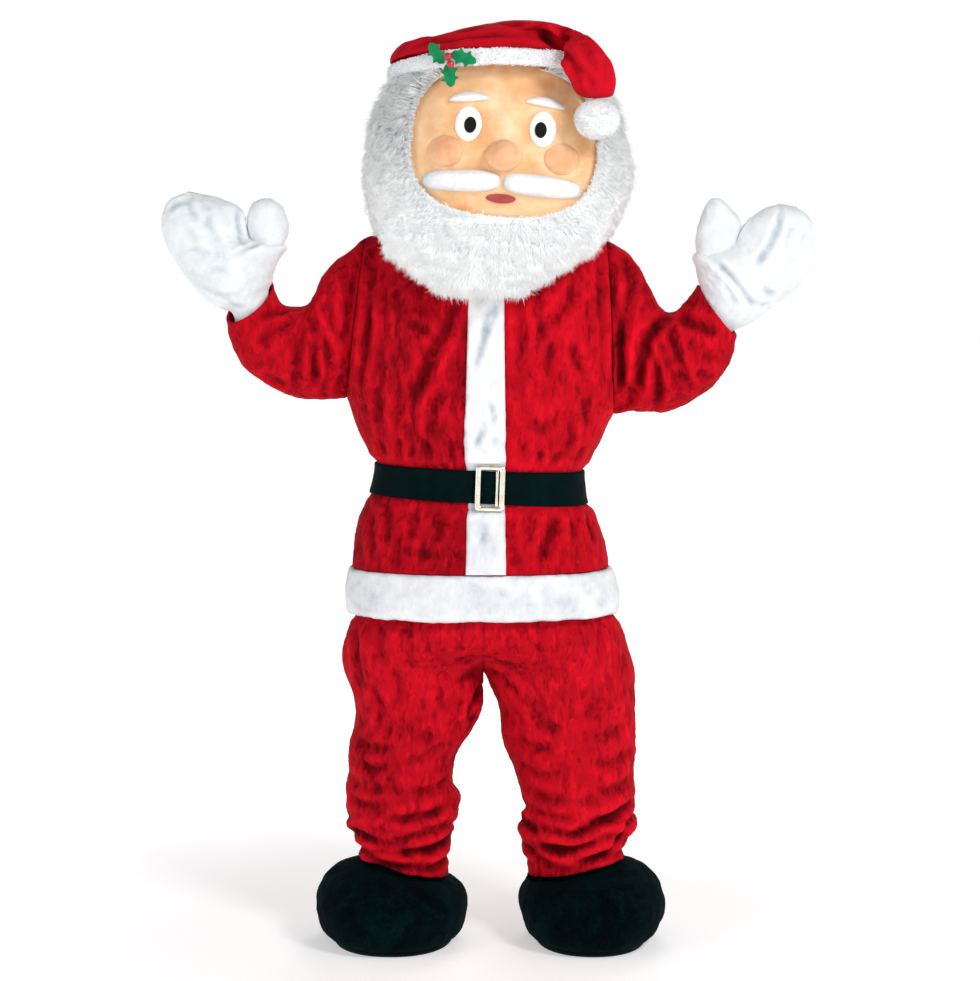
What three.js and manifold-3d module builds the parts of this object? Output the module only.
// Father Christmas mascot costume, as worn: plush head with hat and beard, jacket with belt,
// trousers, two mittens and two boots. Every piece is cut and sewn on its own, so every piece
// is a solid of its own. Millimetres, +Z up, the front faces -Y, +X is the wearer's left.
// Heights in the tables are above the ground; the whole model is then lowered so that the
// origin is the point between the wearer's shoulders that carries the costume.
import * as THREE from 'three';
import Module from 'manifold-3d';
import { mergeVertices } from 'three/addons/utils/BufferGeometryUtils.js';

const wasm = await Module();
wasm.setup();

// ---------------------------------------------------------------- driving sizes
const HOLD_HEIGHT = 1470;      // height of the wearer's shoulders above the ground
const PLUSH = 2.4;             // red plush wall of jacket and trousers
const HAT_PLUSH = 2.4;
const GLOVE_CLOTH = 2.0;
const FUR_REACH = 34;          // backing plus pile of the white hair and beard
const FACE_WALL = 4;           // peach plush on its backing
const BAND_PILE = 8;           // white hem band
const PLACKET_PILE = 6;        // white front strip
const PLACKET_UNDER_BELT = 2;  // the same strip where the belt presses it flat
const BELT_WALL = 4;
const BOOT_WALL = 7;           // boot upper: plush over foam
const SOLE = 8;
const SEAM = 0.3;              // half the room between two sewn pieces
const LIFT = 0.8;              // room under what lies on a panel
const OVAL = 2.3;              // squareness of the body's oval sections

// ---------------------------------------------------------------- tables
// Trunk of the jacket. z: height at the middle; zr, zl: height at the wearer's right and left
// side seam; xr, xl: half widths there; f, b: depth in front of and behind the side seams.
const TRUNK = [
  { z: 790,  zr: 790,  xr: 276, zl: 790,  xl: 259, f: 206, b: 176 },
  { z: 828,  zr: 828,  xr: 271, zl: 828,  xl: 252, f: 200, b: 170 },
  { z: 866,  zr: 866,  xr: 266, zl: 866,  xl: 241, f: 192, b: 163 },
  { z: 900,  zr: 900,  xr: 256, zl: 900,  xl: 226, f: 176, b: 152 },
  { z: 926,  zr: 928,  xr: 241, zl: 922,  xl: 211, f: 165, b: 142 },
  { z: 962,  zr: 966,  xr: 229, zl: 954,  xl: 206, f: 160, b: 136 },
  { z: 998,  zr: 1004, xr: 224, zl: 990,  xl: 205, f: 160, b: 136 },
  { z: 1026, zr: 1030, xr: 238, zl: 1022, xl: 226, f: 165, b: 140 },
  { z: 1056, zr: 1060, xr: 255, zl: 1052, xl: 243, f: 168, b: 143 },
  { z: 1090, zr: 1100, xr: 271, zl: 1080, xl: 255, f: 170, b: 145 },
  { z: 1120, zr: 1140, xr: 284, zl: 1105, xl: 267, f: 170, b: 146 },
];
const ARMPIT = TRUNK.length - 1;       // row at which the armholes start
// White band round the hem of the jacket, from its lower edge up.
const HEM = [
  { z: 693, xr: 284, xl: 279, f: 207, b: 179 },
  { z: 702, xr: 287, xl: 281, f: 211, b: 182 },
  { z: 742, xr: 289, xl: 279, f: 214, b: 184 },
  { z: 780, xr: 283, xl: 267, f: 211, b: 181 },
  { z: 789.4, xr: 278, xl: 261, f: 208, b: 178 },
];
// Shoulders and neck hole.
const SHOULDER = { tipR: [-245, 1470], tipL: [252, 1465], neckX: 100, neckZ: 1494,
  frontY: -88, frontDrop: 42, backY: 80, backDrop: 8, armDepth: 92, neckShare: 0.38 };
// White front strip: x of its two edges at row v of TRUNK (v past ARMPIT is the chest).
const PLACKET = [
  { v: 0.02, x1: -38, x2: 43 },
  { v: 5.0,  x1: -32, x2: 41 },
  { v: 8.0,  x1: -41, x2: 43 },
  { v: 10.0, x1: -38, x2: 42 },
  { v: 10.62, x1: -28, x2: 40 },
];
// Sleeves. Each ring goes through an upper point (ux, uz) and a lower point (lx, lz) of the
// outline, with half depth d about y, and its front edge sags by `sag`.
const SLEEVE_R = [
  { ux: -245, uz: 1470, lx: -284, lz: 1140, y: 0,   d: 92, sag: 0 },
  { ux: -297, uz: 1430, lx: -315, lz: 1138, y: -5,  d: 99, sag: 0 },
  { ux: -330, uz: 1396, lx: -349, lz: 1137, y: -12, d: 99, sag: 0 },
  { ux: -347, uz: 1361, lx: -381, lz: 1138, y: -20, d: 96, sag: 2 },
  { ux: -357, uz: 1338, lx: -417, lz: 1150, y: -30, d: 90, sag: 4 },
  { ux: -371, uz: 1327, lx: -457, lz: 1176, y: -40, d: 84, sag: 8 },
  { ux: -391, uz: 1326, lx: -489, lz: 1201, y: -48, d: 77, sag: 14 },
  { ux: -412, uz: 1329, lx: -510, lz: 1236, y: -54, d: 70, sag: 20 },
  { ux: -424, uz: 1345, lx: -523, lz: 1274, y: -58, d: 64, sag: 26 },
  { ux: -433, uz: 1368, lx: -528, lz: 1309, y: -60, d: 58, sag: 30 },
];
const SLEEVE_L = [
  { ux: 252, uz: 1465, lx: 267, lz: 1105, y: 0,   d: 92, sag: 0 },
  { ux: 300, uz: 1434, lx: 307, lz: 1112, y: -5,  d: 99, sag: 0 },
  { ux: 328, uz: 1393, lx: 344, lz: 1109, y: -12, d: 99, sag: 0 },
  { ux: 345, uz: 1358, lx: 381, lz: 1113, y: -20, d: 96, sag: 2 },
  { ux: 358, uz: 1330, lx: 417, lz: 1129, y: -30, d: 91, sag: 4 },
  { ux: 377, uz: 1316, lx: 452, lz: 1152, y: -40, d: 86, sag: 8 },
  { ux: 396, uz: 1318, lx: 480, lz: 1177, y: -48, d: 80, sag: 12 },
  { ux: 410, uz: 1334, lx: 500, lz: 1208, y: -54, d: 74, sag: 16 },
  { ux: 423, uz: 1349, lx: 511, lz: 1241, y: -58, d: 68, sag: 16 },
  { ux: 438, uz: 1370, lx: 516, lz: 1272, y: -60, d: 62, sag: 16 },
];
// Mittens. ox, oz: point on the outer edge; ix, iz: on the edge towards the head; d: half depth.
const MITT_R = [
  { ox: -508, oz: 1290, ix: -440, iz: 1332, y: -60,  d: 44 },
  { ox: -518, oz: 1317, ix: -442, iz: 1361, y: -66,  d: 46 },
  { ox: -543, oz: 1326, ix: -434, iz: 1380, y: -74,  d: 50 },
  { ox: -580, oz: 1354, ix: -430, iz: 1398, y: -84,  d: 54 },
  { ox: -606, oz: 1388, ix: -418, iz: 1424, y: -92,  d: 54 },
  { ox: -627, oz: 1419, ix: -403, iz: 1452, y: -98,  d: 52 },
  { ox: -643, oz: 1449, ix: -466, iz: 1462, y: -102, d: 49 },
  { ox: -653, oz: 1483, ix: -480, iz: 1484, y: -106, d: 45 },
  { ox: -652, oz: 1516, ix: -485, iz: 1512, y: -110, d: 38 },
  { ox: -637, oz: 1542, ix: -500, iz: 1532, y: -114, d: 25 },
  { ox: -600, oz: 1561, ix: -535, iz: 1548, y: -118, d: 0 },
];
const MITT_L = [
  { ox: 494, oz: 1262, ix: 437, iz: 1330, y: -60,  d: 46 },
  { ox: 508, oz: 1279, ix: 443, iz: 1361, y: -66,  d: 49 },
  { ox: 545, oz: 1296, ix: 438, iz: 1381, y: -74,  d: 52 },
  { ox: 595, oz: 1334, ix: 431, iz: 1408, y: -84,  d: 55 },
  { ox: 631, oz: 1361, ix: 428, iz: 1436, y: -92,  d: 55 },
  { ox: 651, oz: 1386, ix: 494, iz: 1450, y: -98,  d: 52 },
  { ox: 663, oz: 1416, ix: 512, iz: 1472, y: -102, d: 49 },
  { ox: 669, oz: 1456, ix: 531, iz: 1499, y: -106, d: 45 },
  { ox: 667, oz: 1490, ix: 551, iz: 1517, y: -110, d: 38 },
  { ox: 655, oz: 1512, ix: 572, iz: 1529, y: -114, d: 25 },
  { ox: 630, oz: 1530, ix: 594, iz: 1536, y: -118, d: 0 },
];
// Thumbs. The first ring lies inside the mitten, whose surface then trims it.
const THUMB_R = [
  { ox: -486, oz: 1416, ix: -430, iz: 1428, y: -94,  d: 25 },
  { ox: -474, oz: 1445, ix: -406, iz: 1458, y: -98,  d: 30 },
  { ox: -479, oz: 1476, ix: -397, iz: 1485, y: -102, d: 31 },
  { ox: -480, oz: 1508, ix: -401, iz: 1512, y: -108, d: 29 },
  { ox: -470, oz: 1534, ix: -412, iz: 1534, y: -113, d: 22 },
  { ox: -452, oz: 1545, ix: -430, iz: 1545, y: -116, d: 9 },
  { ox: -441, oz: 1546.5, ix: -441, iz: 1546.5, y: -116, d: 0 },
];
const THUMB_L = [
  { ox: 503, oz: 1412, ix: 446, iz: 1412, y: -94,  d: 25 },
  { ox: 508, oz: 1443, ix: 431, iz: 1441, y: -98,  d: 30 },
  { ox: 516, oz: 1471, ix: 430, iz: 1475, y: -102, d: 32 },
  { ox: 519, oz: 1501, ix: 438, iz: 1507, y: -108, d: 30 },
  { ox: 499, oz: 1526, ix: 447, iz: 1531, y: -113, d: 22 },
  { ox: 479, oz: 1545, ix: 458, iz: 1545, y: -116, d: 9 },
  { ox: 469, oz: 1547, ix: 469, iz: 1547, y: -116, d: 0 },
];
// Trousers, from the hem up. xo: outer side; xi: inner side; turn: half a turn is a whole leg,
// a quarter turn is one side of the seat; f, b: depths; lift: how much higher the outer side is.
const LEG_R = [
  { z: 156, xo: -262, xi: -78, turn: 180, f: 88,  b: 90,  lift: 22 },
  { z: 176, xo: -263, xi: -78, turn: 180, f: 90,  b: 92,  lift: 16 },
  { z: 198, xo: -266, xi: -75, turn: 180, f: 93,  b: 95,  lift: 8 },
  { z: 219, xo: -276, xi: -68, turn: 180, f: 100, b: 101, lift: 3 },
  { z: 246, xo: -289, xi: -65, turn: 180, f: 108, b: 106, lift: 0 },
  { z: 272, xo: -287, xi: -55, turn: 180, f: 110, b: 108, lift: 0 },
  { z: 299, xo: -291, xi: -50, turn: 180, f: 112, b: 110, lift: 0 },
  { z: 328, xo: -290, xi: -68, turn: 180, f: 112, b: 110, lift: 0 },
  { z: 356, xo: -285, xi: -66, turn: 180, f: 113, b: 110, lift: 0 },
  { z: 396, xo: -287, xi: -57, turn: 180, f: 116, b: 112, lift: 0 },
  { z: 440, xo: -277, xi: -27, turn: 180, f: 119, b: 115, lift: 0 },
  { z: 488, xo: -272, xi: -5,  turn: 180, f: 122, b: 120, lift: 0 },
  { z: 530, xo: -278, xi: -5,  turn: 180, f: 127, b: 127, lift: 0 },
  { z: 566, xo: -292, xi: -4,  turn: 180, f: 133, b: 135, lift: 0 },
  { z: 592, xo: -298, xi: -2,  turn: 150, f: 146, b: 146, lift: 0 },
  { z: 617, xo: -296, xi: -2,  turn: 125, f: 165, b: 158, lift: 0 },
  { z: 642, xo: -290, xi: -2,  turn: 108, f: 179, b: 164, lift: 0 },
  { z: 668, xo: -281, xi: -2,  turn: 97,  f: 184, b: 163, lift: 0 },
  { z: 694, xo: -266, xi: -2,  turn: 90,  f: 185, b: 160, lift: 0 },
  { z: 760, xo: -250, xi: -2,  turn: 90,  f: 180, b: 154, lift: 0 },
  { z: 830, xo: -234, xi: -2,  turn: 90,  f: 170, b: 146, lift: 0 },
  { z: 892, xo: -206, xi: -2,  turn: 90,  f: 152, b: 132, lift: 0 },
];
const LEG_L = [
  { z: 156, xo: 291, xi: 93, turn: 180, f: 92,  b: 94,  lift: 20 },
  { z: 176, xo: 292, xi: 90, turn: 180, f: 94,  b: 95,  lift: 14 },
  { z: 198, xo: 295, xi: 79, turn: 180, f: 97,  b: 98,  lift: 6 },
  { z: 219, xo: 308, xi: 73, turn: 180, f: 103, b: 103, lift: 2 },
  { z: 246, xo: 319, xi: 75, turn: 180, f: 109, b: 107, lift: 0 },
  { z: 272, xo: 313, xi: 86, turn: 180, f: 110, b: 108, lift: 0 },
  { z: 299, xo: 317, xi: 80, turn: 180, f: 112, b: 110, lift: 0 },
  { z: 328, xo: 315, xi: 72, turn: 180, f: 112, b: 110, lift: 0 },
  { z: 356, xo: 313, xi: 62, turn: 180, f: 113, b: 110, lift: 0 },
  { z: 396, xo: 316, xi: 46, turn: 180, f: 116, b: 112, lift: 0 },
  { z: 440, xo: 317, xi: 36, turn: 180, f: 119, b: 115, lift: 0 },
  { z: 488, xo: 316, xi: 32, turn: 180, f: 122, b: 120, lift: 0 },
  { z: 530, xo: 314, xi: 15, turn: 180, f: 127, b: 127, lift: 0 },
  { z: 566, xo: 313, xi: 0,  turn: 180, f: 133, b: 135, lift: 0 },
  { z: 592, xo: 307, xi: -2, turn: 150, f: 146, b: 146, lift: 0 },
  { z: 617, xo: 299, xi: -2, turn: 125, f: 165, b: 158, lift: 0 },
  { z: 642, xo: 292, xi: -2, turn: 108, f: 179, b: 164, lift: 0 },
  { z: 668, xo: 281, xi: -2, turn: 97,  f: 184, b: 163, lift: 0 },
  { z: 694, xo: 263, xi: -2, turn: 90,  f: 185, b: 160, lift: 0 },
  { z: 760, xo: 240, xi: -2, turn: 90,  f: 180, b: 154, lift: 0 },
  { z: 830, xo: 222, xi: -2, turn: 90,  f: 170, b: 146, lift: 0 },
  { z: 892, xo: 192, xi: -2, turn: 90,  f: 152, b: 132, lift: 0 },
];
// Boots: rings from the sole up over the round vamp and into the shaft inside the trouser leg.
const BOOT_R = [
  { z: 8.6, x1: -322, x2: -62, y1: -180, y2: 128, lift: 0 },
  { z: 30,  x1: -344, x2: -44, y1: -201, y2: 144, lift: 0 },
  { z: 72,  x1: -354, x2: -36, y1: -212, y2: 152, lift: 0 },
  { z: 104, x1: -349, x2: -42, y1: -205, y2: 148, lift: 5 },
  { z: 128, x1: -330, x2: -58, y1: -180, y2: 134, lift: 11 },
  { z: 142, x1: -300, x2: -74, y1: -142, y2: 116, lift: 17 },
  { z: 147, x1: -272, x2: -82, y1: -104, y2: 100, lift: 21 },
  { z: 150, x1: -249, x2: -92, y1: -77,  y2: 77,  lift: 20 },
  { z: 236, x1: -248, x2: -93, y1: -76,  y2: 76,  lift: 0 },
];
const BOOT_L = [
  { z: 8.6, x1: 102, x2: 344, y1: -180, y2: 128, lift: 0 },
  { z: 30,  x1: 84,  x2: 366, y1: -201, y2: 144, lift: 0 },
  { z: 72,  x1: 72,  x2: 379, y1: -212, y2: 152, lift: 0 },
  { z: 104, x1: 76,  x2: 373, y1: -205, y2: 148, lift: 5 },
  { z: 128, x1: 86,  x2: 354, y1: -180, y2: 134, lift: 10 },
  { z: 142, x1: 91,  x2: 326, y1: -142, y2: 117, lift: 15 },
  { z: 147, x1: 92,  x2: 300, y1: -106, y2: 104, lift: 19 },
  { z: 150, x1: 106, x2: 278, y1: -81,  y2: 81,  lift: 18 },
  { z: 236, x1: 107, x2: 277, y1: -80,  y2: 80,  lift: 0 },
];
// Head: outside of the white fur. xr, xl: edges; f, b: depths. crown: how far the row rises in
// front, where the hat band arches over the face.
const HEAD_X = 28;
const HEAD = [
  { z: 1440, xr: -205, xl: 232, f: 214, b: 190, crown: 0 },
  { z: 1476, xr: -229, xl: 264, f: 232, b: 215, crown: 0 },
  { z: 1520, xr: -243, xl: 289, f: 244, b: 236, crown: 0 },
  { z: 1570, xr: -253, xl: 305, f: 250, b: 250, crown: 0 },
  { z: 1604, xr: -252, xl: 309, f: 252, b: 256, crown: 0 },
  { z: 1646, xr: -246, xl: 300, f: 253, b: 257, crown: 0 },
  { z: 1688, xr: -241, xl: 286, f: 251, b: 253, crown: 0 },
  { z: 1720, xr: -227, xl: 279, f: 247, b: 247, crown: 0 },
  { z: 1753, xr: -214, xl: 264, f: 240, b: 238, crown: 6 },
  { z: 1783.4, xr: -196, xl: 252, f: 230, b: 227, crown: 17 },
];
// Beard hanging in front of the chest, solid fur: edges and front and back at each height.
// They curve back towards the cheeks by `BEARD_BOW` at 230 mm from the middle.
const BEARD_BOW = 88;
const BEARD = [
  { z: 1528, x1: -196, x2: 240, y1: -238, y2: -196 },
  { z: 1506, x1: -210, x2: 250, y1: -254, y2: -186 },
  { z: 1480, x1: -216, x2: 252, y1: -266, y2: -178 },
  { z: 1448, x1: -204, x2: 226, y1: -271, y2: -174 },
  { z: 1414, x1: -160, x2: 166, y1: -264, y2: -174 },
  { z: 1382, x1: -114, x2: 110, y1: -250, y2: -174 },
  { z: 1358, x1: -68,  x2: 62,  y1: -234, y2: -178 },
  { z: 1344, x1: -30,  x2: 20,  y1: -216, y2: -190 },
];
const FACE = { x: 40, z: 1650, halfWidth: 190, halfHeight: 148, topReach: 157, square: 2.6,
  tilt: 4, backOf: 26, cutFrom: -420, cutTo: -40, facets: 24 };
const HEAD_SPLIT = { backY: -20, beardZ: 1530 };
// Hat: each ring has an outer point (ox, oz) on the outline, an inner point (ix, iz) at the
// fold, half depth d about y, and rises by crown in front.
const HAT = [
  { ox: -188, oz: 1824, ix: 247, iz: 1824, y: -1,   d: 222, crown: 15 },
  { ox: -172, oz: 1850, ix: 249, iz: 1831, y: -4,   d: 212, crown: 14 },
  { ox: -145, oz: 1869, ix: 248, iz: 1838, y: -8,   d: 200, crown: 10 },
  { ox: -85,  oz: 1889, ix: 242, iz: 1843, y: -16,  d: 186, crown: 6 },
  { ox: -21,  oz: 1903, ix: 230, iz: 1845, y: -34,  d: 168, crown: 3 },
  { ox: 59,   oz: 1912, ix: 212, iz: 1845, y: -66,  d: 138, crown: 0 },
  { ox: 130,  oz: 1903, ix: 190, iz: 1846, y: -120, d: 98,  crown: 0 },
  { ox: 177,  oz: 1880, ix: 168, iz: 1844, y: -184, d: 58,  crown: 0 },
  { ox: 208,  oz: 1852, ix: 160, iz: 1832, y: -242, d: 33,  crown: 0 },
  { ox: 232,  oz: 1828, ix: 156, iz: 1808, y: -254, d: 31,  crown: 0 },
  { ox: 250,  oz: 1804, ix: 162, iz: 1786, y: -250, d: 34,  crown: 0 },
  { ox: 256,  oz: 1778, ix: 172, iz: 1770, y: -248, d: 33,  crown: 0 },
  { ox: 252,  oz: 1756, ix: 188, iz: 1751, y: -244, d: 27,  crown: 0 },
  { ox: 240,  oz: 1744, ix: 206, iz: 1743, y: -240, d: 15,  crown: 0 },
  { ox: 223,  oz: 1741.5, ix: 223, iz: 1741.5, y: -238, d: 0, crown: 0 },
];
const BAND = { x: 28, halfWidth: 223, f: 236, b: 228, thick: 24, low: 1785, high: 1822.6,
  lowArch: 17, highArch: 15 };
const POMPOM = { x: 222, y: -236, z: 1697, rx: 46, ry: 43, rz: 41 };
// What is sewn to the face, in the face's own plane: across, up, half sizes, height, turn.
const EYES = { across: 74, up: 34, rx: 27, rz: 35, h: 9 };
const PUPILS = { across: 70, up: 32, rx: 12, rz: 16, h: 4, on: 9.6 };
const BROWS = { across: 76, up: 88, rx: 40, rz: 10, h: 13, turn: -5 };
const NOSE = { up: -24, rx: 36, rz: 31, h: 50 };
const CHEEKS = { across: 116, up: -22, rx: 36, rz: 31, h: 17 };
const MOUSTACHE = { across: 81, up: -78, rx: 78, rz: 22, h: 30, turn: -4, facets: 18 };
const LIP = { up: -108, rx: 30, rz: 9, h: 9 };
// Belt: heights of its edges at the wearer's right, the middle and the left.
const BELT = { lift: 1.3, lowR: 942, lowM: 930, lowL: 919, highR: 1006, highM: 998, highL: 989,
  bulge: 4.2, bulgeFrom: 46, bulgeTo: 78 };
const BUCKLE = { x: 11.5, z: 963, width: 60, height: 92, side: 11, rail: 9, depth: 6, corner: 8,
  tilt: 2, lean: 5, prongX: 14, prong: 5.5 };
// Holly on the hat band: leaf middles on the band, length, width and turn of each leaf.
const HOLLY = [
  { name: 'holly_leaf_a', x: -93, z: 1826, length: 46, width: 22, turn: 128 },
  { name: 'holly_leaf_b', x: -40, z: 1816, length: 48, width: 22, turn: -20 },
  { name: 'holly_leaf_c', x: -67, z: 1783, length: 42, width: 24, turn: -82 },
];
const BERRIES = [{ name: 'berry_a', x: -71, z: 1818, r: 8 }, { name: 'berry_b', x: -66, z: 1803, r: 7.5 }];

// ---------------------------------------------------------------- materials
const paint = (color, roughness, metalness = 0) => new THREE.MeshStandardMaterial({ color, roughness, metalness });
const RED = paint(0xc8142a, 0.85), WHITE_FUR = paint(0xe9ecef, 0.95), WHITE_CLOTH = paint(0xf2f5f7, 0.8);
const PEACH = paint(0xf3c79b, 0.9), BLACK = paint(0x0c1414, 0.6), BOOT_BLACK = paint(0x081818, 0.85);
const METAL = paint(0xe8e2c4, 0.25, 0.9), GREEN = paint(0x0a8048, 0.8), BERRY = paint(0xc01828, 0.5);
const EYE_WHITE = paint(0xf4f2ea, 0.3), PUPIL = paint(0x0b0a0a, 0.2), PINK = paint(0xe58a72, 0.9), LIP_RED = paint(0xb04a48, 0.8);

// ---------------------------------------------------------------- helpers
const V = (x, y, z) => new THREE.Vector3(x, y, z);
const lerp = (a, b, t) => a + (b - a) * t;
const clamp = (v, a, b) => Math.min(b, Math.max(a, v));
const ease = (t) => { const s = clamp(t, 0, 1); return s * s * (3 - 2 * s); };
const range = (a, b, n) => Array.from({ length: n + 1 }, (_, i) => lerp(a, b, i / n));
const rad = (d) => d * Math.PI / 180;

// Smooth value of every column of a table at row v (v may lie between rows).
function at(rows, v) {
  const last = rows.length - 1, c = clamp(v, 0, last), i = Math.min(Math.floor(c), last - 1), t = c - i;
  const p0 = rows[Math.max(i - 1, 0)], p1 = rows[i], p2 = rows[i + 1], p3 = rows[Math.min(i + 2, last)];
  const out = {};
  for (const k of Object.keys(p1)) {
    const a = p0[k], b = p1[k], c2 = p2[k], d = p3[k];
    out[k] = b + 0.5 * t * ((c2 - a) + t * ((2 * a - 5 * b + 4 * c2 - d) + t * (3 * (b - c2) + d - a)));
  }
  return out;
}
// Straight value of one column of a table against another.
function along(rows, key, x, col) {
  const up = rows[rows.length - 1][key] > rows[0][key];
  for (let i = 0; i + 1 < rows.length; i++) {
    const a = rows[i], b = rows[i + 1];
    const t = (x - a[key]) / (b[key] - a[key]);
    if (t <= 1 || i + 2 === rows.length) return lerp(a[col], b[col], Math.max(t, up && i === 0 ? Math.max(t, 0) : t));
  }
  return rows[0][col];
}
// Oval section: reach at angle th, th = 0 in front, PI/2 at the side.
const ovalReach = (th, side, depth, n) =>
  Math.pow(Math.pow(Math.abs(Math.sin(th)) / side, n) + Math.pow(Math.abs(Math.cos(th)) / depth, n), -1 / n);

function normalOf(P, u, v, eu = 1e-3, ev = 1e-3) {
  const du = P(u + eu, v).sub(P(u - eu, v)), dv = P(u, v + ev).sub(P(u, v - ev));
  return du.cross(dv);
}
// Grid of points and outward normals of the surface P(u, v). `inside(v)` is a point within it.
function gridOf(P, us, vs, inside) {
  const pts = vs.map((v) => us.map((u) => P(u, v)));
  const nrm = vs.map((v) => us.map((u) => normalOf(P, u, v)));
  let sum = 0;
  vs.forEach((v, i) => { const c = inside(v); us.forEach((u, j) => { const n = nrm[i][j]; if (n.length() > 1e-9) sum += Math.sign(n.dot(pts[i][j].clone().sub(c))); }); });
  const s = Math.sign(sum) || 1;
  for (let i = 0; i < vs.length; i++) for (let j = 0; j < us.length; j++) nrm[i][j].multiplyScalar(s);
  // a row that has run together at one point takes its normal from the row before
  for (let i = 0; i < vs.length; i++) {
    const m = V(0, 0, 0);
    for (let j = 0; j < us.length; j++) if (nrm[i][j].length() > 1e-7) m.add(nrm[i][j].normalize());
    for (let j = 0; j < us.length; j++) if (nrm[i][j].length() < 1e-7) nrm[i][j].copy(m.length() > 1e-6 ? m.clone().normalize() : (i ? nrm[i - 1][j] : V(0, 0, 1)));
  }
  return { pts, nrm };
}
const moved = (g, d) => g.pts.map((row, i) => row.map((p, j) => p.clone().addScaledVector(g.nrm[i][j], typeof d === 'function' ? d(i, j) : d)));

// One closed body from its triangles: shared corners are merged, empty triangles dropped, and
// the faces turned outwards.
function bodyOf(positions, faces) {
  let geo = new THREE.BufferGeometry();
  geo.setAttribute('position', new THREE.Float32BufferAttribute(positions.flatMap((p) => [p.x, p.y, p.z]), 3));
  geo.setIndex(faces.flat());
  geo = mergeVertices(geo, 2e-3);
  const p = geo.attributes.position, ix = geo.index.array, kept = [];
  for (let i = 0; i < ix.length; i += 3) if (ix[i] !== ix[i + 1] && ix[i + 1] !== ix[i + 2] && ix[i] !== ix[i + 2]) kept.push([ix[i], ix[i + 1], ix[i + 2]]);
  let vol = 0; const a = V(0, 0, 0), b = V(0, 0, 0), c = V(0, 0, 0);
  for (const f of kept) { a.fromBufferAttribute(p, f[0]); b.fromBufferAttribute(p, f[1]); c.fromBufferAttribute(p, f[2]); vol += a.dot(b.clone().cross(c)); }
  geo.setIndex((vol < 0 ? kept.map((f) => [f[0], f[2], f[1]]) : kept).flat());
  geo.computeVertexNormals();
  return geo;
}
// Wall between an outer and an inner grid. loop: the columns close on themselves.
function wall(outer, inner, loop = false) {
  const R = outer.length, C = outer[0].length, pos = [...outer.flat(), ...inner.flat()], faces = [], off = R * C;
  const q = (a, b, c, d) => faces.push([a, b, c], [a, c, d]);
  const J = loop ? C : C - 1;
  for (let i = 0; i + 1 < R; i++) for (let j = 0; j < J; j++) {
    const k = (j + 1) % C, a = i * C + j, b = i * C + k, c = (i + 1) * C + k, d = (i + 1) * C + j;
    q(a, b, c, d); q(off + a, off + d, off + c, off + b);
  }
  for (let j = 0; j < J; j++) { const k = (j + 1) % C, e = (R - 1) * C; q(j, off + j, off + k, k); q(e + j, e + k, off + e + k, off + e + j); }
  if (!loop) for (let i = 0; i + 1 < R; i++) { const a = i * C, d = (i + 1) * C, b = a + C - 1, c = d + C - 1; q(a, d, off + d, off + a); q(b, off + b, off + c, c); }
  return bodyOf(pos, faces);
}
// Solid from a looped grid whose first and last rows are closed with a fan.
function solid(grid) {
  const R = grid.length, C = grid[0].length, pos = grid.flat(), faces = [];
  for (let i = 0; i + 1 < R; i++) for (let j = 0; j < C; j++) { const k = (j + 1) % C; faces.push([i * C + j, i * C + k, (i + 1) * C + k], [i * C + j, (i + 1) * C + k, (i + 1) * C + j]); }
  const mid = (row) => row.reduce((s, p) => s.add(p), V(0, 0, 0)).divideScalar(C);
  pos.push(mid(grid[0]), mid(grid[R - 1]));
  const m0 = pos.length - 2, m1 = pos.length - 1;
  for (let j = 0; j < C; j++) { const k = (j + 1) % C; faces.push([m0, k, j], [m1, (R - 1) * C + j, (R - 1) * C + k]); }
  return bodyOf(pos, faces);
}
// Joins and cuts.
function manifoldOf(geo) {
  const g = mergeVertices(new THREE.BufferGeometry().setAttribute('position', geo.attributes.position.clone()).setIndex(geo.index ? [...geo.index.array] : null), 2e-3);
  const p = g.attributes.position, ix = g.index.array, kept = [];
  for (let i = 0; i < ix.length; i += 3) if (ix[i] !== ix[i + 1] && ix[i + 1] !== ix[i + 2] && ix[i] !== ix[i + 2]) kept.push(ix[i], ix[i + 1], ix[i + 2]);
  return new wasm.Manifold(new wasm.Mesh({ numProp: 3, vertProperties: Float32Array.from(p.array), triVerts: Uint32Array.from(kept) }));
}
function geometryOf(man) {
  const m = man.getMesh(), n = m.numProp, pos = [], faces = [];
  for (let i = 0; i < m.vertProperties.length; i += n) pos.push(V(m.vertProperties[i], m.vertProperties[i + 1], m.vertProperties[i + 2]));
  for (let i = 0; i < m.triVerts.length; i += 3) faces.push([m.triVerts[i], m.triVerts[i + 1], m.triVerts[i + 2]]);
  return bodyOf(pos, faces);
}
const largest = (man) => man.decompose().sort((a, b) => b.volume() - a.volume())[0];
const boxOf = (x1, x2, y1, y2, z1, z2) => manifoldOf(new THREE.BoxGeometry(x2 - x1, y2 - y1, z2 - z1).translate((x1 + x2) / 2, (y1 + y2) / 2, (z1 + z2) / 2));

const model = new THREE.Group();
const placed = new THREE.Group();
placed.position.z = -HOLD_HEIGHT;
model.add(placed);
function add(name, geometry, material) {
  const mesh = new THREE.Mesh(geometry, material);
  mesh.name = name;
  placed.add(mesh);
  return mesh;
}

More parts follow.
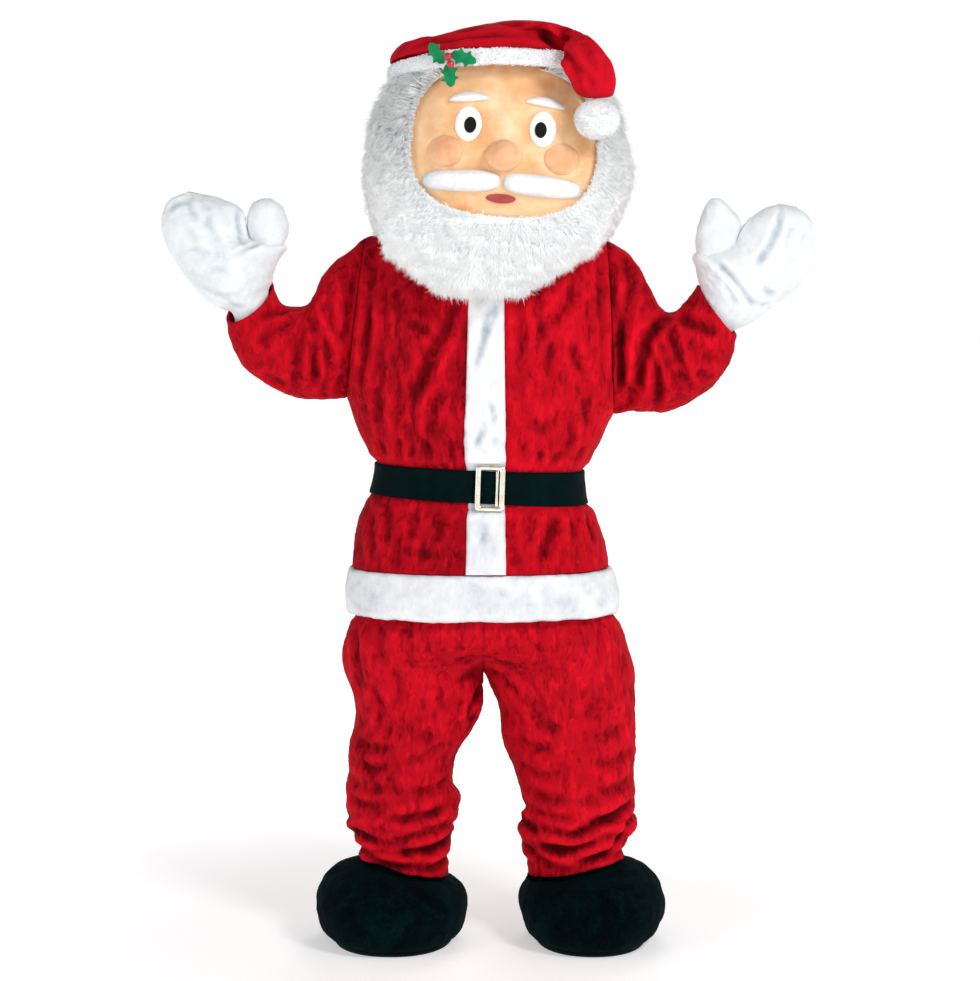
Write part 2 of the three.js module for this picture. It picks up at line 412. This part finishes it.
// ---------------------------------------------------------------- jacket
// a goes once round the trunk: -1 right side seam, 0 centre front, 1 left side seam, 2 centre
// back, 3 right side seam again. v is the row: up to ARMPIT the table, above it the chest.
function sideOf(a) {
  let w = ((a + 1) % 4 + 4) % 4 - 1;
  return w <= 1 ? { u: Math.abs(w), s: Math.sign(w) || 1, front: true } : { u: Math.abs(2 - w), s: w < 2 ? 1 : -1, front: false };
}
function trunkRow(a, r) {
  const { u, s, front } = sideOf(a), th = u * Math.PI / 2;
  const side = s < 0 ? r.xr : r.xl, depth = front ? r.f : r.b, reach = ovalReach(th, side, depth, OVAL);
  const zs = s < 0 ? (r.zr ?? r.z) : (r.zl ?? r.z);
  return V(s * reach * Math.sin(th), (front ? -1 : 1) * reach * Math.cos(th), lerp(r.z, zs, u * u));
}
function trunk(a, v) {
  if (v <= ARMPIT) return trunkRow(a, at(TRUNK, v));
  const { u, s, front } = sideOf(a), p0 = trunkRow(a, TRUNK[ARMPIT]), h = (v - ARMPIT) * Math.PI / 2;
  const k = ovalReach(h, 1, 1, OVAL), C = k * Math.cos(h), S = k * Math.sin(h);
  const tip = s < 0 ? SHOULDER.tipR : SHOULDER.tipL, fs = front ? -1 : 1;
  let xt, yt, zt;
  if (u >= SHOULDER.neckShare) {
    const t = (u - SHOULDER.neckShare) / (1 - SHOULDER.neckShare);
    xt = lerp(s * SHOULDER.neckX, tip[0], t); yt = 0; zt = lerp(SHOULDER.neckZ, tip[1], t);
  } else {
    const f = u / SHOULDER.neckShare * Math.PI / 2, drop = front ? SHOULDER.frontDrop : SHOULDER.backDrop;
    xt = s * SHOULDER.neckX * Math.sin(f); yt = (front ? SHOULDER.frontY : SHOULDER.backY) * Math.cos(f); zt = SHOULDER.neckZ - drop * Math.cos(f);
  }
  const hole = SHOULDER.armDepth * Math.sqrt(Math.max(0, 1 - (2 * S - 1) ** 2));
  return V(lerp(p0.x, xt, S), yt + (p0.y - yt) * C + fs * hole * u * u * u, lerp(p0.z, zt, S));
}
// Plane of the armhole: half width at height z on side s.
function armholeX(s, z) {
  const low = TRUNK[ARMPIT], tip = s < 0 ? SHOULDER.tipR : SHOULDER.tipL;
  const zl = s < 0 ? low.zr : low.zl, xl = s < 0 ? low.xr : low.xl;
  return lerp(xl, Math.abs(tip[0]), (z - zl) / (tip[1] - zl));
}
const trunkInside = (v) => V(0, 0, v <= ARMPIT ? at(TRUNK, v).z : lerp(1120, 1400, v - ARMPIT));
const TRUNK_ROWS = [0, 2, 3, 4, 4.5, 5, 5.5, 6, 7, 8.5, 10, 10.15, 10.35, 10.55, 10.77, 10.999];
function trunkPanel(a0, a1, n) {
  const g = gridOf(trunk, range(a0, a1, n), TRUNK_ROWS, trunkInside);
  const outer = moved(g, 0), inner = moved(g, -PLUSH);
  const front = sideOf((a0 + a1) / 2).front;
  for (const grid of [outer, inner]) grid.forEach((row, i) => {
    if (TRUNK_ROWS[i] < ARMPIT) return;
    for (const p of row) {
      const s = Math.sign(p.x) || 1, m = armholeX(s, p.z) - SEAM;
      if (Math.abs(p.x) > m) p.x = s * m;
      p.y = front ? Math.min(p.y, -SEAM) : Math.max(p.y, SEAM);
    }
  });
  return wall(outer, inner);
}
const edgeGap = 0.0011;
add('jacket_front_r', trunkPanel(-1 + edgeGap, -0.0016, 6), RED);
add('jacket_front_l', trunkPanel(0.0016, 1 - edgeGap, 6), RED);
add('jacket_back', trunkPanel(1 + edgeGap, 3 - edgeGap, 12), RED);

const hemSurface = (a, v) => trunkRow(a, at(HEM, v));
const aroundLoop = (n) => range(-1, 3, n).slice(0, n);
{
  const g = gridOf(hemSurface, aroundLoop(24), [0, 1, 2, 4], (v) => V(0, 0, at(HEM, v).z));
  add('hem_band', wall(moved(g, 0), moved(g, -BAND_PILE), true), WHITE_FUR);
}

function sleeveSurface(rows) {
  return (t, v) => {
    const r = at(rows, v), c = Math.cos(t), s = Math.sin(t);
    return V((r.ux + r.lx) / 2 + (r.ux - r.lx) / 2 * c, r.y - r.d * s, (r.uz + r.lz) / 2 + (r.uz - r.lz) / 2 * c - r.sag * s);
  };
}
const turn = (n) => range(0, 2 * Math.PI, n).slice(0, n);
function sleeve(rows, side) {
  const P = sleeveSurface(rows), vs = [0, 1, 2, 3, 4, 5, 6, 7, 8, 9];
  const g = gridOf(P, turn(14), vs, (v) => { const r = at(rows, v); return V((r.ux + r.lx) / 2, r.y, (r.uz + r.lz) / 2); });
  const outer = moved(g, 0), inner = moved(g, -PLUSH);
  for (const grid of [outer, inner]) grid.slice(0, 2).forEach((row) => row.forEach((p) => {
    const m = armholeX(side, p.z) + SEAM;
    if (Math.abs(p.x) < m) p.x = side * m;
  }));
  return wall(outer, inner, true);
}
add('sleeve_r', sleeve(SLEEVE_R, -1), RED);
add('sleeve_l', sleeve(SLEEVE_L, 1), RED);

// The a at which row v has the given x on the front.
function aAtX(x, v) {
  let lo = -1, hi = 1;
  for (let i = 0; i < 40; i++) { const m = (lo + hi) / 2; if (trunk(m, v).x < x) lo = m; else hi = m; }
  return (lo + hi) / 2;
}
const beltEdges = (x) => {
  const t = clamp(x / (x < 0 ? 229 : 207), -1, 1), s = Math.abs(t);
  return t < 0 ? { low: lerp(BELT.lowM, BELT.lowR, s), high: lerp(BELT.highM, BELT.highR, s) }
    : { low: lerp(BELT.lowM, BELT.lowL, s), high: lerp(BELT.highM, BELT.highL, s) };
};
// The row of the trunk table at height z for the given a.
function vAtZ(a, z) {
  let lo = 0, hi = ARMPIT;
  for (let i = 0; i < 40; i++) { const m = (lo + hi) / 2; if (trunk(a, m).z < z) lo = m; else hi = m; }
  return (lo + hi) / 2;
}
{
  const vs = [0.02, 2, 2.9, 3.5, 4, 4.5, 5, 5.5, 6, 6.5, 7.2, 8.5, 10, 10.15, 10.35, 10.55];
  const across = range(0, 1, 4);
  const P = (k, v) => trunk(aAtX(lerp(along(PLACKET, 'v', v, 'x1'), along(PLACKET, 'v', v, 'x2'), k), v), v);
  const g = gridOf(P, across, vs, trunkInside);
  const flat = (v) => 1 - ease((Math.abs(v - 5.0) - 1.5) / 0.6);
  const edge = (k) => (k === 0 || k === across.length - 1 ? 0.55 : 1);
  add('placket', wall(moved(g, (i, j) => LIFT + edge(j) * lerp(PLACKET_PILE, PLACKET_UNDER_BELT, flat(vs[i]))), moved(g, LIFT)), WHITE_FUR);
}
{
  const bulge = (p) => BELT.lift + BELT.bulge * (p.y < 0 ? 1 - ease((Math.abs(p.x - 3) - BELT.bulgeFrom) / (BELT.bulgeTo - BELT.bulgeFrom)) : 0);
  const as = [...range(-1, -1 / 2, 3), -5 / 12, ...range(-1 / 3, 1 / 3, 8), 5 / 12, ...range(1 / 2, 1, 3), ...range(1, 3, 12).slice(1, 12)];
  const P = (a, h) => { const e = beltEdges(trunk(a, 5).x); return trunk(a, vAtZ(a, lerp(e.low, e.high, h))); };
  const g = gridOf(P, as, [0.001, 0.5, 0.999], () => V(0, 0, 962));
  const lift = (i, j) => bulge(g.pts[i][j]);
  add('belt', wall(moved(g, (i, j) => lift(i, j) + BELT_WALL), moved(g, lift), true), BLACK);
}
// Buckle: a rectangular frame with a prong bar, upright in front of the belt.
const buckleY = trunk(aAtX(BUCKLE.x, 5), 5).y - (BELT.lift + BELT.bulge + BELT_WALL) - 4.4;
{
  const frame = new THREE.Shape(), w = BUCKLE.width / 2, h = BUCKLE.height / 2, r = BUCKLE.corner;
  frame.moveTo(-w + r, -h).lineTo(w - r, -h).quadraticCurveTo(w, -h, w, -h + r).lineTo(w, h - r).quadraticCurveTo(w, h, w - r, h)
    .lineTo(-w + r, h).quadraticCurveTo(-w, h, -w, h - r).lineTo(-w, -h + r).quadraticCurveTo(-w, -h, -w + r, -h);
  const iw = w - BUCKLE.side, ih = h - BUCKLE.rail, hole = new THREE.Path();
  hole.moveTo(-iw, -ih).lineTo(-iw, ih).lineTo(iw, ih).lineTo(iw, -ih).lineTo(-iw, -ih);
  frame.holes.push(hole);
  const upright = (geo) => geo.rotateX(Math.PI / 2 - rad(BUCKLE.lean)).rotateY(rad(BUCKLE.tilt)).translate(BUCKLE.x, buckleY, BUCKLE.z);
  add('buckle_frame', upright(new THREE.ExtrudeGeometry(frame, { depth: BUCKLE.depth, bevelEnabled: false, curveSegments: 4 })), METAL);
  const bar = new THREE.BoxGeometry(BUCKLE.prong, 2 * ih - 2 * SEAM, 3.5).translate(BUCKLE.prongX, 0, BUCKLE.depth / 2);
  add('buckle_prong', upright(bar), METAL);
}

// ---------------------------------------------------------------- trousers
// c goes round a leg: 0 outer side seam, 1 inner seam by the front, -1 inner seam by the back.
function legSurface(rows) {
  return (c, v) => {
    const r = at(rows, v), T = rad(clamp(r.turn, 90, 180)), ct = Math.cos(T);
    const cx = (r.xi - r.xo * ct) / (1 - ct), ax = r.xo - cx, t = T * c;
    return V(cx + ax * Math.cos(t), -(c >= 0 ? r.f : r.b) * Math.sin(t), r.z + r.lift * Math.cos(t));
  };
}
const LEG_ROWS = [0, 1, 2, 3, 4, 6, 8, 10, 11, 12, 13, 14, 15, 16, 17, 18, 19, 21];
function legPanel(rows, face, side) {
  const P = legSurface(rows), g = gridOf(P, range(0.0015 * face, 0.9985 * face, 7), LEG_ROWS, (v) => { const r = at(rows, v); return V((r.xo + r.xi) / 2, 0, r.z); });
  const outer = moved(g, 0), inner = moved(g, -PLUSH);
  for (const grid of [outer, inner]) grid.forEach((row) => row.forEach((p) => {
    p.y = face > 0 ? Math.min(p.y, -SEAM) : Math.max(p.y, SEAM);
    if (side < 0) p.x = Math.min(p.x, -2 - SEAM); else p.x = Math.max(p.x, -2 + SEAM);
  }));
  return wall(outer, inner);
}
add('trouser_front_r', legPanel(LEG_R, 1, -1), RED);
add('trouser_back_r', legPanel(LEG_R, -1, -1), RED);
add('trouser_front_l', legPanel(LEG_L, 1, 1), RED);
add('trouser_back_l', legPanel(LEG_L, -1, 1), RED);
{
  // elastic casing on the trouser waist, hidden by the jacket
  const top = LEG_R.length - 1, r = LEG_R[top], l = LEG_L[top];
  const P = (a, v) => { const { u, s, front } = sideOf(a), th = u * Math.PI / 2; return V(-2 + s * ((s < 0 ? -r.xo - 2 : l.xo + 2) - 2 * v) * Math.sin(th), (front ? -1 : 1) * ((front ? r.f : r.b) - 2 * v) * Math.cos(th), r.z + SEAM * 2 + 26 * v); };
  const g = gridOf(P, aroundLoop(24), [0, 1], (v) => V(0, 0, r.z + 26 * v));
  add('waistband', wall(moved(g, 0), moved(g, -PLUSH - 0.6), true), RED);
}

// ---------------------------------------------------------------- mittens
function mittSurface(rows) {
  return (t, v) => {
    const r = at(rows, v);
    return V((r.ox + r.ix) / 2 + (r.ox - r.ix) / 2 * Math.cos(t), r.y - Math.max(r.d, 0) * Math.sin(t), (r.oz + r.iz) / 2 + (r.oz - r.iz) / 2 * Math.cos(t));
  };
}
const mittMid = (rows) => (v) => { const r = at(rows, v); return V((r.ox + r.ix) / 2, r.y, (r.oz + r.iz) / 2); };
function mittHalf(rows, face, hole) {
  const P = mittSurface(rows), vs = rows.map((_, i) => i), g = gridOf(P, range(0, Math.PI * face, 6), vs, mittMid(rows));
  const outer = moved(g, 0), inner = moved(g, -GLOVE_CLOTH);
  for (const grid of [outer, inner]) grid.forEach((row, i) => row.forEach((p) => {
    const m = rows[i].y;
    p.y = face > 0 ? Math.min(p.y, m - 0.4) : Math.max(p.y, m + 0.4);
  }));
  return geometryOf(largest(manifoldOf(wall(outer, inner)).subtract(hole)));
}
function mitten(tag, rows, thumbRows) {
  const mg = gridOf(mittSurface(rows), turn(12), rows.map((_, i) => Math.min(i, rows.length - 1.02)), mittMid(rows));
  const keepOut = manifoldOf(solid(moved(mg, 0.9)));
  const vs = [0, 1, 2, 3, 4, 5, 6], tg = gridOf(mittSurface(thumbRows), turn(10), vs, mittMid(thumbRows));
  const outer = moved(tg, 0), inner = moved(tg, -GLOVE_CLOTH);
  const hollow = manifoldOf(solid(inner));
  const whole = manifoldOf(solid(outer));
  const thumb = whole.subtract(hollow).subtract(keepOut);
  add(`glove_${tag}_palm`, mittHalf(rows, 1, hollow), WHITE_CLOTH);
  add(`glove_${tag}_back`, mittHalf(rows, -1, hollow), WHITE_CLOTH);
  add(`glove_${tag}_thumb`, geometryOf(largest(thumb)), WHITE_CLOTH);
}
mitten('r', MITT_R, THUMB_R);
mitten('l', MITT_L, THUMB_L);

// ---------------------------------------------------------------- boots
function bootSurface(rows, side) {
  return (t, v) => {
    const r = at(rows, v), cx = (r.x1 + r.x2) / 2, hw = (r.x2 - r.x1) / 2, s = Math.sin(t), c = Math.cos(t);
    const depth = c > 0 ? -r.y1 : r.y2, reach = ovalReach(t, hw, depth, 2.2);
    return V(cx + reach * s, -reach * c, r.z + r.lift * side * s);
  };
}
function boot(tag, rows, side) {
  const P = bootSurface(rows, side), vs = [0, 1, 2, 3, 4, 5, 6, 7, 8];
  const g = gridOf(P, turn(18), vs, (v) => { const r = at(rows, v); return V((r.x1 + r.x2) / 2, 0, r.z - 20); });
  const thick = (i) => (vs[i] >= 7 ? -4 : -BOOT_WALL);
  add(`boot_${tag}_upper`, wall(moved(g, 0), moved(g, thick), true), BOOT_BLACK);
  const low = turn(20).map((t) => P(t, 0)), plate = [low.map((p) => V(p.x * 1, p.y, 0)), low.map((p) => V(p.x, p.y, SOLE))];
  add(`boot_${tag}_sole`, solid(plate), BLACK);
}
boot('r', BOOT_R, -1);
boot('l', BOOT_L, 1);

// ---------------------------------------------------------------- head
// t = 0 in front, PI/2 at the wearer's left.
function headSurface(t, v, inset = 0) {
  const r = at(HEAD, v), s = Math.sin(t), c = Math.cos(t);
  const side = (s < 0 ? HEAD_X - r.xr : r.xl - HEAD_X) - inset, depth = (c > 0 ? r.f : r.b) - inset;
  const reach = ovalReach(t, side, depth, OVAL);
  return V(HEAD_X + reach * s, -reach * c, r.z + r.crown * Math.max(0, c) ** 2);
}
const headRows = HEAD.map((_, i) => i);
const faceTilt = rad(FACE.tilt);
// From the face's own plane (across, up) to x and z.
const faceXZ = (q, w) => [FACE.x + q * Math.cos(faceTilt) + w * Math.sin(faceTilt), FACE.z + w * Math.cos(faceTilt) - q * Math.sin(faceTilt)];
function faceOutline(k, top, shrink = 0) {
  const c = Math.cos(k), s = Math.sin(k), hw = FACE.halfWidth - shrink, hh = (s > 0 ? top : FACE.halfHeight) - shrink;
  const reach = Math.pow(Math.pow(Math.abs(c) / hw, FACE.square) + Math.pow(Math.abs(s) / hh, FACE.square), -1 / FACE.square);
  return [reach * c, reach * s];
}
{
  const ts = turn(26);
  const g = gridOf((t, v) => headSurface(t, v), ts, headRows, (v) => V(HEAD_X, 0, at(HEAD, v).z));
  const inner = headRows.map((v) => ts.map((t) => headSurface(t, v, FUR_REACH)));
  // overshoot the rims so that the hollow is open at both ends
  const bore = [inner[0].map((p) => V(p.x, p.y, p.z - 30)), ...inner, inner[inner.length - 1].map((p) => V(p.x, p.y, p.z + 40))];
  let shell = manifoldOf(solid(moved(g, 0))).subtract(manifoldOf(solid(bore)));
  const outline = new THREE.Shape(turn(FACE.facets).map((k) => { const [q, w] = faceOutline(k, FACE.topReach), [x, z] = faceXZ(q, w); return new THREE.Vector2(x, z); }));
  const cutter = new THREE.ExtrudeGeometry(outline, { depth: FACE.cutTo - FACE.cutFrom, bevelEnabled: false, curveSegments: 1 }).rotateX(Math.PI / 2).translate(0, FACE.cutTo, 0);
  shell = shell.subtract(manifoldOf(cutter));
  // room for the shoulders below the head
  const slope = new THREE.Shape([[-320, 1380], [320, 1380], [320, 1457], [252, 1471], [96, 1500], [-96, 1500], [-246, 1476], [-320, 1462]].map((p) => new THREE.Vector2(p[0], p[1])));
  const shoulders = manifoldOf(new THREE.ExtrudeGeometry(slope, { depth: 250, bevelEnabled: false }).rotateX(Math.PI / 2).translate(0, 125, 0));
  shell = shell.subtract(shoulders);
  const B = 600, yb = HEAD_SPLIT.backY, zb = HEAD_SPLIT.beardZ;
  add('hair_back', geometryOf(largest(shell.intersect(boxOf(-B, B, yb + SEAM, B, 0, 3000)))), WHITE_FUR);
  const front = shell.intersect(boxOf(-B, B, -B, yb - SEAM, 0, 3000));
  add('hair_r', geometryOf(largest(front.intersect(boxOf(-B, FACE.x, -B, B, zb + SEAM, 3000)))), WHITE_FUR);
  add('hair_l', geometryOf(largest(front.intersect(boxOf(FACE.x, B, -B, B, zb + SEAM, 3000)))), WHITE_FUR);
  const bibGrid = BEARD.map((r) => turn(20).map((t) => {
    const cx = (r.x1 + r.x2) / 2, cy = (r.y1 + r.y2) / 2, hw = (r.x2 - r.x1) / 2, hd = (r.y2 - r.y1) / 2, k = ovalReach(t, hw, hd, 2.4);
    return V(cx + k * Math.sin(t), cy - k * Math.cos(t) + BEARD_BOW * Math.pow((k * Math.sin(t)) / 230, 2), r.z);
  }));
  const bib = manifoldOf(solid(bibGrid)).subtract(manifoldOf(cutter)).subtract(shoulders);
  add('beard', geometryOf(largest(front.add(bib).intersect(boxOf(-B, B, -B, yb - SEAM, 0, zb - SEAM)))), WHITE_FUR);
}
// Depth of the face's plush at x, z.
function faceY(x, z, inset) {
  let lo = 0, hi = HEAD.length - 1;
  for (let i = 0; i < 36; i++) { const m = (lo + hi) / 2; if (at(HEAD, m).z < z) lo = m; else hi = m; }
  const r = at(HEAD, (lo + hi) / 2), side = (x < HEAD_X ? HEAD_X - r.xr : r.xl - HEAD_X) - inset;
  return -(r.f - inset) * Math.pow(Math.max(0.02, 1 - Math.pow(Math.abs(x - HEAD_X) / side, OVAL)), 1 / OVAL);
}
// Point of the face at (across, up) in its own plane; it rounds back a little to its rim.
function facePoint(q, w) {
  const [x, z] = faceXZ(q, w), e = Math.hypot(q / FACE.halfWidth, w / FACE.halfHeight);
  return V(x, faceY(x, z, FACE.backOf) + 8 * Math.pow(Math.min(e, 1.1), 4), z);
}
{
  const P = (k, rho) => { const [q, w] = faceOutline(k, FACE.halfHeight + 2, 0.8); return facePoint(q * rho, w * rho); };
  const g = gridOf(P, turn(FACE.facets), [1, 0.8, 0.5, 0], () => V(HEAD_X, 0, FACE.z));
  add('face_panel', wall(moved(g, 0), g.pts.map((row, i) => row.map((p, j) => V(p.x, p.y + FACE_WALL, p.z))), true), PEACH);
}
// A raised shape sewn on the face: an oval dome on the face's own points, moved out.
function dome(o, side = 1, on = LIFT) {
  const rot = rad(o.turn || 0) * side, n = o.facets || 12;
  const P = (k, rho) => { const a = o.rx * rho * Math.cos(k), b = o.rz * rho * Math.sin(k); return facePoint((o.across || 0) * side + a * Math.cos(rot) - b * Math.sin(rot), o.up + a * Math.sin(rot) + b * Math.cos(rot)); };
  const rhos = [1, 0.8, 0.45, 0], g = gridOf(P, turn(n), rhos, () => V(HEAD_X, 0, FACE.z));
  const out = V(0, -1, 0);
  const back = g.pts.map((row) => row.map((p) => p.clone().addScaledVector(out, on)));
  const front = g.pts.map((row, i) => row.map((p) => p.clone().addScaledVector(out, on + 1 + (o.h - 1) * Math.sqrt(1 - rhos[i] ** 2))));
  return wall(front, back, true);
}
add('eye_r', dome(EYES, -1), EYE_WHITE);
add('eye_l', dome(EYES, 1), EYE_WHITE);
add('pupil_r', dome(PUPILS, -1, LIFT + PUPILS.on), PUPIL);
add('pupil_l', dome(PUPILS, 1, LIFT + PUPILS.on), PUPIL);
add('brow_r', dome(BROWS, -1), WHITE_FUR);
add('brow_l', dome(BROWS, 1), WHITE_FUR);
add('nose', dome(NOSE, 1), PINK);
add('cheek_r', dome(CHEEKS, -1), PINK);
add('cheek_l', dome(CHEEKS, 1), PINK);
add('moustache_r', dome(MOUSTACHE, -1), WHITE_FUR);
add('moustache_l', dome(MOUSTACHE, 1), WHITE_FUR);
add('lip', dome(LIP, 1), LIP_RED);

// ---------------------------------------------------------------- hat
function hatSurface(t, v) {
  const r = at(HAT, v), c = Math.cos(t), s = Math.sin(t);
  return V((r.ox + r.ix) / 2 + (r.ox - r.ix) / 2 * c, r.y - Math.max(r.d, 0) * s, (r.oz + r.iz) / 2 + (r.oz - r.iz) / 2 * c + r.crown * Math.max(0, s) ** 2);
}
{
  const g = gridOf(hatSurface, turn(18), HAT.map((_, i) => i), (v) => { const r = at(HAT, v); return V((r.ox + r.ix) / 2, r.y, (r.oz + r.iz) / 2 - 4); });
  add('hat_crown', wall(moved(g, 0), moved(g, -HAT_PLUSH), true), RED);
}
// Plush band round the head: its centre line and its oval section.
function bandPoint(t, k, grow = 0) {
  const s = Math.sin(t), c = Math.cos(t), depth = c > 0 ? BAND.f : BAND.b, arch = Math.max(0, c) ** 2;
  const low = BAND.low + BAND.lowArch * arch, high = BAND.high + BAND.highArch * arch;
  const kc = Math.cos(k), ks = Math.sin(k), q = Math.pow(Math.pow(Math.abs(kc), 3.2) + Math.pow(Math.abs(ks), 3.2), -1 / 3.2);
  const off = (BAND.thick / 2 + grow) * q * kc, reach = ovalReach(t, BAND.halfWidth - 1 + off, depth - 1 + off, OVAL);
  return V(BAND.x + reach * s, -reach * c, (low + high) / 2 + ((high - low) / 2) * q * ks);
}
{
  const ts = turn(26), ks = turn(8), pos = [], faces = [];
  for (const t of ts) for (const k of ks) pos.push(bandPoint(t, k));
  const N = ts.length, K = ks.length;
  for (let i = 0; i < N; i++) for (let j = 0; j < K; j++) { const a = i * K + j, b = ((i + 1) % N) * K + j, c = ((i + 1) % N) * K + (j + 1) % K, d = i * K + (j + 1) % K; faces.push([a, b, c], [a, c, d]); }
  add('hat_band', bodyOf(pos, faces), WHITE_FUR);
}
add('pompom', new THREE.SphereGeometry(1, 14, 9).rotateX(Math.PI / 2).scale(POMPOM.rx, POMPOM.ry, POMPOM.rz).translate(POMPOM.x, POMPOM.y, POMPOM.z), WHITE_FUR);

// Holly leaves lie on the front of the band; the band's surface gives their place and turn.
function bandFront(x) {
  let lo = -1.2, hi = 1.2;
  for (let i = 0; i < 40; i++) { const m = (lo + hi) / 2; if (bandPoint(m, 0).x < x) lo = m; else hi = m; }
  const t = (lo + hi) / 2, p = bandPoint(t, 0), n = bandPoint(t + 1e-3, 0).sub(bandPoint(t - 1e-3, 0));
  return { p, yaw: Math.atan2(n.y, n.x) };
}
for (const leaf of HOLLY) {
  const L = leaf.length / 2, W = leaf.width / 2, tips = 3, pts = [];
  const side = (s) => range(-1, 1, tips * 4).forEach((q) => {
    const body = W * Math.pow(Math.max(0, 1 - q * q), 0.5), notch = 0.72 + 0.28 * Math.abs(Math.cos(q * Math.PI * tips / 2));
    pts.push(new THREE.Vector2(s * q * L, s * body * notch));
  });
  side(1); side(-1);
  const clean = pts.filter((p, i) => i === 0 || p.distanceTo(pts[i - 1]) > 0.5).filter((p, i, all) => i < all.length - 1 || p.distanceTo(all[0]) > 0.5);
  const { p, yaw } = bandFront(leaf.x);
  add(leaf.name, new THREE.ExtrudeGeometry(new THREE.Shape(clean), { depth: 2, bevelEnabled: false })
    .rotateZ(rad(leaf.turn)).rotateX(Math.PI / 2).rotateZ(yaw).translate(leaf.x, p.y - 3.2, leaf.z), GREEN);
}
for (const b of BERRIES) {
  const { p } = bandFront(b.x);
  add(b.name, new THREE.SphereGeometry(b.r, 8, 6).rotateX(Math.PI / 2).translate(b.x, p.y - 8 - b.r, b.z), BERRY);
}

export default model;
